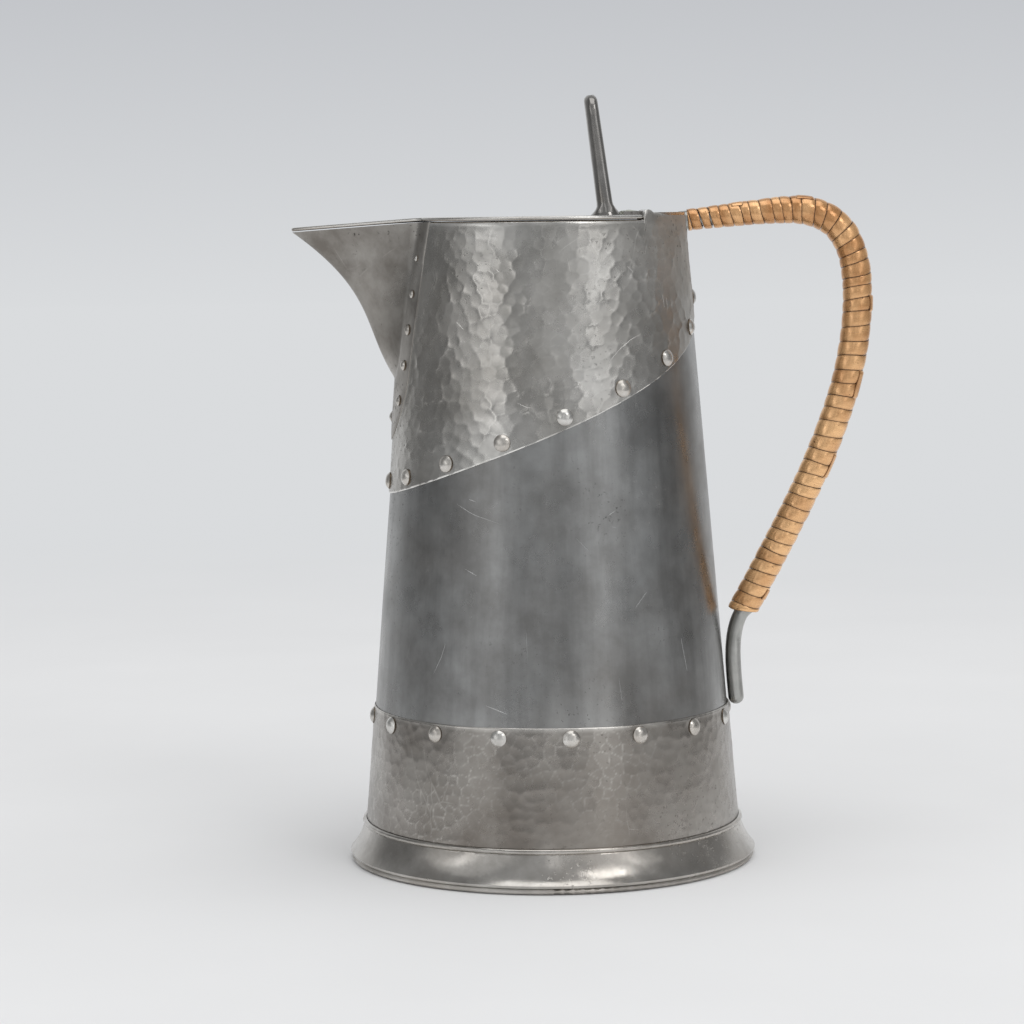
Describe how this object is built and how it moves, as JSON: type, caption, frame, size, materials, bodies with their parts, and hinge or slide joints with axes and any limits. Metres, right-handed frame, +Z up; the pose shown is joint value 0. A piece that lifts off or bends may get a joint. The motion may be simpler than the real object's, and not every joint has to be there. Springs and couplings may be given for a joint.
{
  "type": "lidded flagon",
  "caption": "Pewter flagon with a conical riveted body, hammered bands, a beak spout, a hinged lid with a thumb piece and a cane-bound handle.",
  "frame": {"origin": "centre of the base plate's underside, on the table", "axes": "+Z up along the body's axis, -X towards the spout, +X towards the handle, +Y away from the side that is shown"},
  "size_m": [0.1734, 0.1226, 0.2288],
  "materials": {
    "pewter_smooth": "satin, dark patina",
    "pewter_hammered": "hammered, worn",
    "pewter_foot": "polished, worn",
    "pewter_spout": "satin, mottled",
    "pewter_lid": "polished edge",
    "pewter_thumb": "polished, worn",
    "pewter_rivet": "polished",
    "pewter_bar": "satin, dark patina",
    "cane": "glossy, aged"
  },
  "bodies": {
    "jug": {"base_plate": "pewter_foot", "foot_ring": "pewter_foot", "body_wall": "pewter_smooth", "lower_band": "pewter_hammered", "lower_band_rivets": "pewter_rivet", "upper_band": "pewter_hammered", "upper_band_rivets": "pewter_rivet", "spout": "pewter_spout", "spout_rivets": "pewter_rivet", "hinge_plate": "pewter_lid", "hinge_pin": "pewter_rivet", "handle_socket": "pewter_bar", "handle_bar": "pewter_bar", "cane_leader": "cane", "cane_wrap": "cane"},
    "lid": {"lid": "pewter_lid", "lid_hinge_leaf": "pewter_lid", "thumb_piece": "pewter_thumb"}
  },
  "joints": [
    {"name": "lid_hinge", "type": "hinge", "parent": "jug", "child": "lid", "pos_m": [0.0298, 0, 0.193], "axis": [0, 1, 0], "range_deg": [0, 100]}
  ]
}
